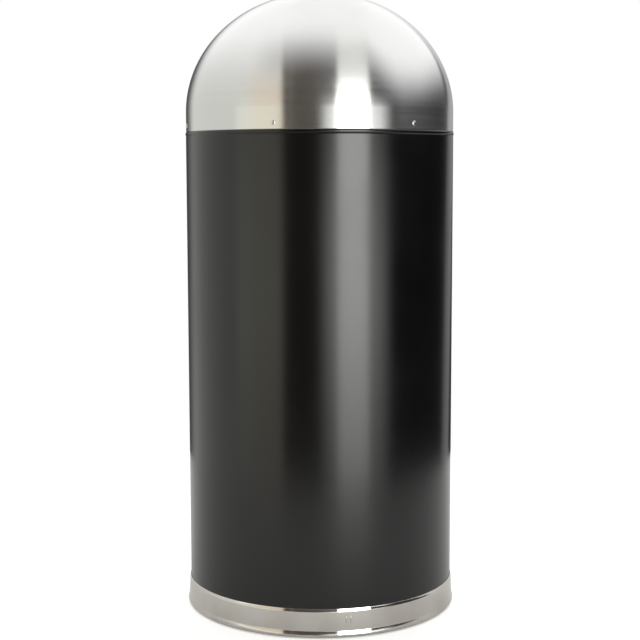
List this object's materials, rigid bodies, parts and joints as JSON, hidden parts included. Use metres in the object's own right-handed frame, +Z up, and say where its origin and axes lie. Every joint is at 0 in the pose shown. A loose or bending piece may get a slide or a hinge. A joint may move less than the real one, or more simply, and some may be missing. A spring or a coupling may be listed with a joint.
{
  "type": "litter bin",
  "caption": "Round dome-top litter bin: black coated steel body on a flared steel base band, lift-off brushed steel dome with a sprung push flap, and an inner liner with a bail handle.",
  "frame": {"origin": "on the floor at the body's upright axis, level with the undersides of the rubber feet", "axes": "+Z up along the body's axis; the dome's flap faces -Y, so the plain back with the base band's joint faces +Y; +X to the right seen from the front"},
  "size_m": [0.389, 0.389, 0.876],
  "materials": {
    "brushed_stainless": "fine brushed stainless steel",
    "polished_stainless": "bright polished stainless steel",
    "black_coat": "satin black powder coat",
    "galvanised": "galvanised sheet steel with a faint spangle",
    "spring_steel": "oiled spring steel",
    "black_rubber": "matt black rubber",
    "grip_plastic": "matt black plastic"
  },
  "bodies": {
    "body": {"body_shell": "black_coat", "base_band": "polished_stainless", "bottom_pan": "galvanised", "band_stitch_left": "polished_stainless", "band_stitch_right": "polished_stainless", "base_foot_1": "black_rubber", "base_foot_2": "black_rubber", "base_foot_3": "black_rubber", "base_foot_4": "black_rubber", "foot_rivet_1": "galvanised", "foot_rivet_2": "galvanised", "foot_rivet_3": "galvanised", "foot_rivet_4": "galvanised"},
    "liner": {"liner_shell": "galvanised", "liner_bottom": "galvanised", "liner_rim_ring": "galvanised", "liner_ear_left": "galvanised", "liner_ear_right": "galvanised", "ear_rivet_left_lower": "galvanised", "ear_rivet_left_upper": "galvanised", "ear_rivet_right_lower": "galvanised", "ear_rivet_right_upper": "galvanised"},
    "bail": {"bail_handle": "galvanised", "bail_grip": "grip_plastic"},
    "dome": {"dome_shell": "brushed_stainless", "dome_collar": "galvanised", "dome_rivet_1": "brushed_stainless", "dome_rivet_2": "brushed_stainless", "dome_rivet_3": "brushed_stainless", "dome_rivet_4": "brushed_stainless", "dome_rivet_5": "brushed_stainless", "dome_rivet_6": "brushed_stainless", "hinge_rod": "spring_steel", "hinge_bracket_left": "galvanised", "rod_cap_left": "spring_steel", "return_spring_left": "spring_steel", "hinge_bracket_right": "galvanised", "rod_cap_right": "spring_steel", "return_spring_right": "spring_steel", "bracket_rivet_left_front": "brushed_stainless", "bracket_rivet_left_rear": "brushed_stainless", "bracket_rivet_right_front": "brushed_stainless", "bracket_rivet_right_rear": "brushed_stainless"},
    "flap": {"push_flap": "brushed_stainless", "hinge_leaf": "galvanised", "leaf_rivet_left": "galvanised", "spring_arm_left": "spring_steel", "flap_bumper_left": "black_rubber", "leaf_rivet_right": "galvanised", "spring_arm_right": "spring_steel", "flap_bumper_right": "black_rubber"}
  },
  "joints": [
    {"name": "liner_lift", "type": "slide", "parent": "body", "child": "liner", "axis": [0, 0, 1], "range_m": [0, 0.68]},
    {"name": "dome_lift", "type": "slide", "parent": "liner", "child": "dome", "axis": [0, 0, 1], "range_m": [0, 0.3]},
    {"name": "flap_swing", "type": "hinge", "parent": "dome", "child": "flap", "pos_m": [0, -0.09299, 0.831], "axis": [1, 0, 0], "range_deg": [0, 55], "stiffness_Nm_per_rad": 0.5, "springref_deg": -68.75},
    {"name": "bail_swing", "type": "hinge", "parent": "liner", "child": "bail", "pos_m": [0, 0, 0.64], "axis": [1, 0, 0], "range_deg": [0, 190]}
  ]
}
